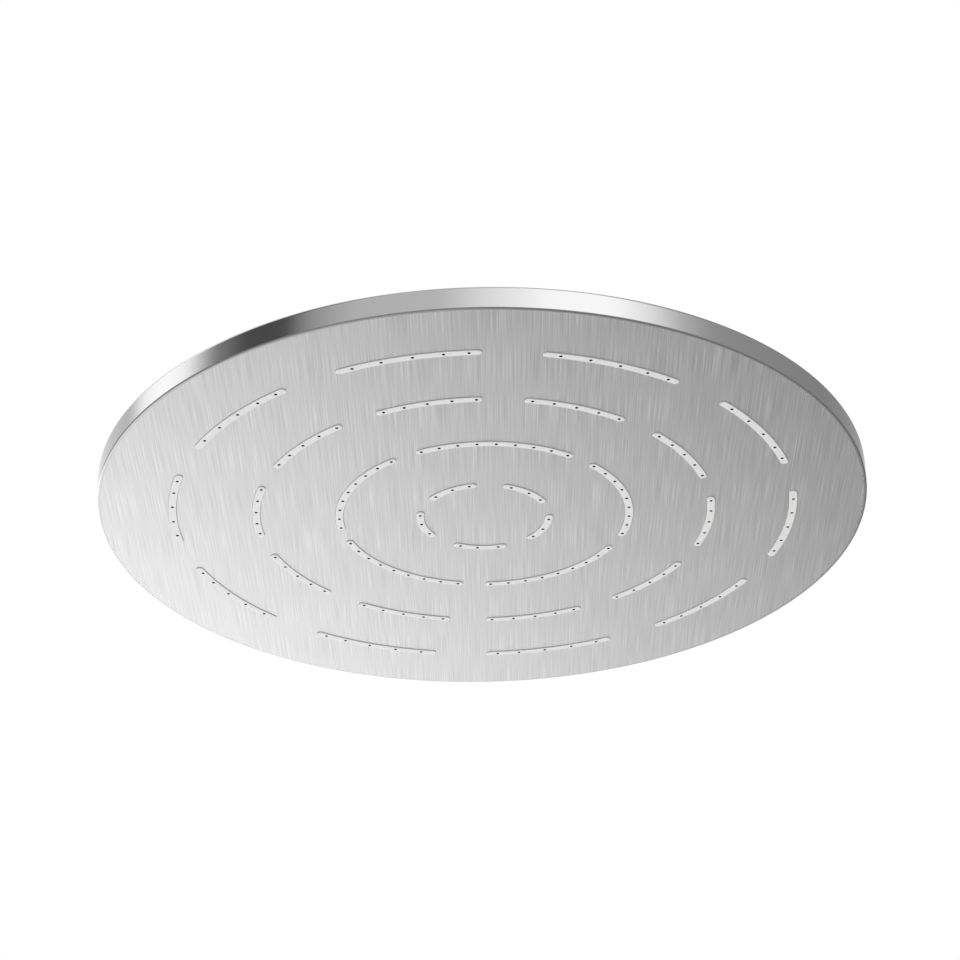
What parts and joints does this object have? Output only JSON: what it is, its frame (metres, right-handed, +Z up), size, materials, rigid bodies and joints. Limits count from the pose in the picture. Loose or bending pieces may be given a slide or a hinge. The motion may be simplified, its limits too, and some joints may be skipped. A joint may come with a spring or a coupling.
{
  "type": "overhead shower head",
  "caption": "Slim round overhead shower head: brushed slotted face with silicone nozzle ribs, polished rim, and a ball joint with a female pipe thread.",
  "frame": {"origin": "start of the inlet thread, just under its bevelled mouth, on the axis of the head", "axes": "+Z up along the inlet thread into the supply pipe, the spray face looks down; the picture's camera stands on the -Y side, +X to its right"},
  "size_m": [0.3, 0.3, 0.0683],
  "materials": {
    "polished_stainless": "polished stainless steel",
    "brushed_stainless": "straight-brushed stainless steel",
    "bare_stainless": "plain mill-finished stainless steel",
    "silicone": "light grey moulded silicone",
    "black_rubber": "moulded rubber",
    "white_plastic": "moulded plastic",
    "acetal": "moulded acetal",
    "chromed_brass": "chrome-plated turned brass"
  },
  "bodies": {
    "connector": {"ball_stem": "chromed_brass", "inlet_washer": "black_rubber", "filter_screen": "bare_stainless", "flow_regulator": "white_plastic", "regulator_o_ring": "black_rubber"},
    "upper_ring": {"friction_ring": "acetal"},
    "lower_ring": {"ball_seal": "black_rubber"},
    "head": {"body_pan": "polished_stainless", "face_plate": "brushed_stainless", "nozzle_mat": "silicone", "spray_plate": "white_plastic", "chamber_gasket": "black_rubber", "chamber_lid": "bare_stainless", "weld_bosses": "bare_stainless", "chamber_screws": "bare_stainless", "inlet_neck": "chromed_brass", "lid_o_ring": "black_rubber", "neck_screws": "bare_stainless", "pan_washer": "polished_stainless", "locknut": "chromed_brass", "collar_nut": "chromed_brass"}
  },
  "joints": [
    {"name": "tilt_x", "type": "hinge", "parent": "connector", "child": "upper_ring", "pos_m": [0, 0, -0.0362], "axis": [1, 0, 0], "range_deg": [-15, 15]},
    {"name": "tilt_y", "type": "hinge", "parent": "upper_ring", "child": "lower_ring", "pos_m": [0, 0, -0.0362], "axis": [0, 1, 0], "range_deg": [-15, 15]},
    {"name": "spin", "type": "hinge", "parent": "lower_ring", "child": "head", "pos_m": [0, 0, -0.0362], "axis": [0, 0, 1], "continuous": true}
  ]
}
